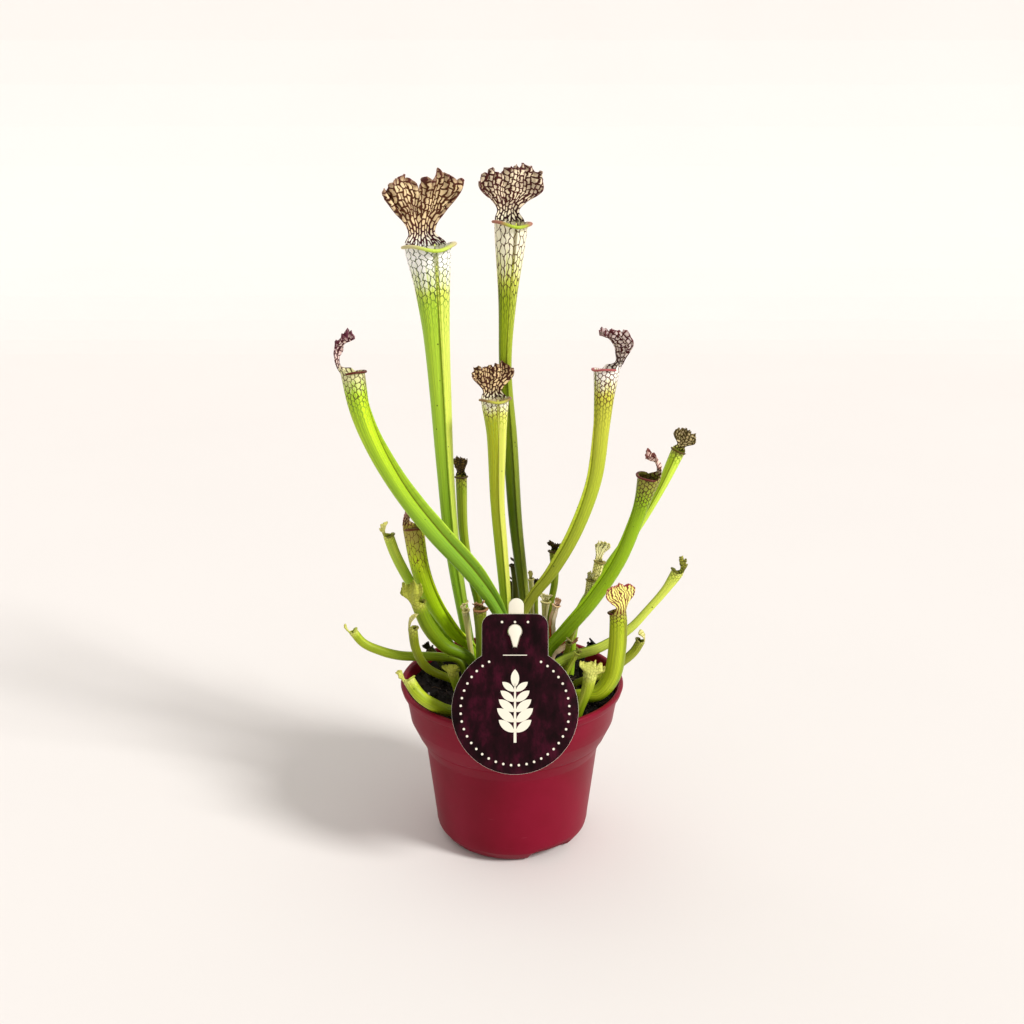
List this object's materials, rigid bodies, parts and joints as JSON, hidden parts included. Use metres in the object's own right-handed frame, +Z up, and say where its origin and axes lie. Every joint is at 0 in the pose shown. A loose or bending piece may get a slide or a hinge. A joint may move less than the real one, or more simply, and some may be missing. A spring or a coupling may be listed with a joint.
{
  "type": "potted pitcher plant",
  "caption": "Clump of upright tubular pitcher leaves with veined ruffled hoods, growing in a round tapered nursery pot, with a plain hang tag on a stake.",
  "frame": {"origin": "centre of the flat pad under the pot, on the surface that the pot stands on", "axes": "+Z up, -Y towards the viewer and the tag, +X to the viewer's right"},
  "size_m": [0.1888, 0.1316, 0.355],
  "materials": {
    "pot_plastic": "satin crimson",
    "peat": "wet peat, taken as 1000 kg/m3",
    "stake_plastic": "cream, glossy",
    "tag_card": "dark satin print",
    "leaf_white_topped": "satin leaf, net-veined top",
    "leaf_green": "satin leaf",
    "leaf_olive": "satin leaf, net-veined top",
    "leaf_yellow": "satin leaf, striped",
    "leaf_dark": "dark satin leaf",
    "leaf_dry": "dry papery leaf",
    "leaf_dead": "dead leaf, matt"
  },
  "bodies": {
    "root": {"pot": "pot_plastic", "soil": "peat", "stake": "stake_plastic", "tag": "tag_card", "leaf_tall_left": "leaf_white_topped", "leaf_tall_right": "leaf_white_topped", "leaf_middle": "leaf_white_topped", "leaf_right_arch": "leaf_white_topped", "leaf_left_arch": "leaf_green", "leaf_right_lean": "leaf_green", "leaf_right_low": "leaf_green", "leaf_left_back": "leaf_green", "leaf_front_hooded": "leaf_olive", "leaf_left_mid": "leaf_olive", "leaf_right_far": "leaf_olive", "leaf_front_curl": "leaf_olive", "leaf_left_frill": "leaf_olive", "leaf_left_small": "leaf_olive", "leaf_front_trumpet": "leaf_olive", "leaf_dark_back": "leaf_olive", "leaf_brown_mouth": "leaf_olive", "leaf_small_right_back": "leaf_olive", "leaf_dark_tip": "leaf_olive", "leaf_left_low": "leaf_yellow", "leaf_rim_leaf": "leaf_yellow", "leaf_front_lid": "leaf_yellow", "leaf_striped_tall": "leaf_yellow", "leaf_striped_short": "leaf_yellow", "leaf_pale_trumpet": "leaf_yellow", "leaf_pale_tip": "leaf_yellow", "leaf_pale_lid": "leaf_yellow", "leaf_curl_behind": "leaf_yellow", "leaf_curl_front": "leaf_yellow", "leaf_serrated_tall": "leaf_dark", "leaf_serrated_short": "leaf_dark", "leaf_dark_bud": "leaf_dark", "leaf_dry_sheath": "leaf_dry", "leaf_dry_strip": "leaf_dry", "leaf_dead_curl": "leaf_dead"}
  },
  "joints": []
}
